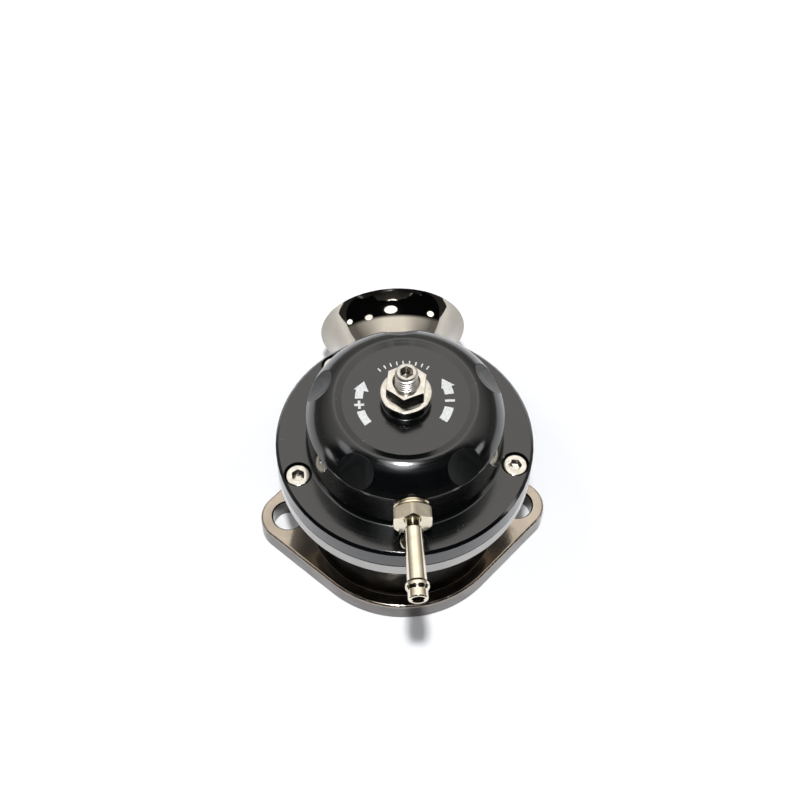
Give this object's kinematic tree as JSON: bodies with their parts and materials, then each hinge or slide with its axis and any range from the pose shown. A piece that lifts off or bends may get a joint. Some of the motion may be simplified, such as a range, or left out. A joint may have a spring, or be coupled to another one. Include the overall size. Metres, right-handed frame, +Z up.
{
  "type": "blow off valve",
  "caption": "Diaphragm blow off valve with a two-bolt flange, bolted scalloped cover, hose nipple, spring adjuster with lock nut and a flared side trumpet.",
  "frame": {"origin": "centre of the inlet bore on the flange's lower face", "axes": "+Z up along the valve axis, +X through a flange ear, +Y towards the trumpet's mouth"},
  "size_m": [0.084, 0.1067, 0.0819],
  "materials": {
    "black_nickel": "polished casting with black nickel plating",
    "black_anodised": "turned, satin black anodised",
    "bright_steel": "bright plated",
    "dark_steel": "black oxide",
    "nickel_brass": "turned and nickel plated",
    "bronze": "sintered bronze",
    "rubber": "matt moulded rubber",
    "plain_alloy": "turned",
    "spring_steel": "drawn"
  },
  "bodies": {
    "housing": {"valve_body": "black_nickel", "lower_housing": "black_nickel", "guide_bush": "bronze", "cover": "black_anodised", "cover_screws": "bright_steel", "diaphragm": "rubber", "trumpet": "black_nickel", "trumpet_o_ring": "rubber", "trumpet_set_screws": "dark_steel", "vacuum_nipple": "nickel_brass", "adjuster_seal": "rubber"},
    "valve": {"valve_head": "plain_alloy", "valve_seal": "rubber", "head_screw": "bright_steel", "valve_stem": "spring_steel", "lower_plate": "plain_alloy", "upper_plate": "plain_alloy", "stem_washer": "bright_steel", "stem_nut": "bright_steel"},
    "spring_carrier": {"spring_seat": "plain_alloy", "main_spring": "spring_steel"},
    "adjuster": {"adjuster_screw": "bright_steel"},
    "lock_ring": {"lock_nut": "bright_steel"}
  },
  "joints": [
    {"name": "valve_lift", "type": "slide", "parent": "housing", "child": "valve", "axis": [0, 0, 1], "range_m": [0, 0.007], "stiffness_N_per_m": 2500, "springref_m": -0.012, "deforming": ["diaphragm", "main_spring"]},
    {"name": "seat_slide", "type": "slide", "parent": "housing", "child": "spring_carrier", "axis": [0, 0, 1], "range_m": [-0.003, 0.002], "deforming": ["main_spring"]},
    {"name": "adjuster_turn", "type": "hinge", "parent": "spring_carrier", "child": "adjuster", "pos_m": [0, 0, 0.07], "axis": [0, 0, 1], "range_deg": [-1080, 720]},
    {"name": "lock_nut_turn", "type": "hinge", "parent": "housing", "child": "lock_ring", "pos_m": [0, 0, 0.0745], "axis": [0, 0, 1], "range_deg": [0, 180]}
  ],
  "couplings": [
    {"joint": "adjuster_turn", "follows": "seat_slide", "rad_per_m": 6283.2}
  ]
}
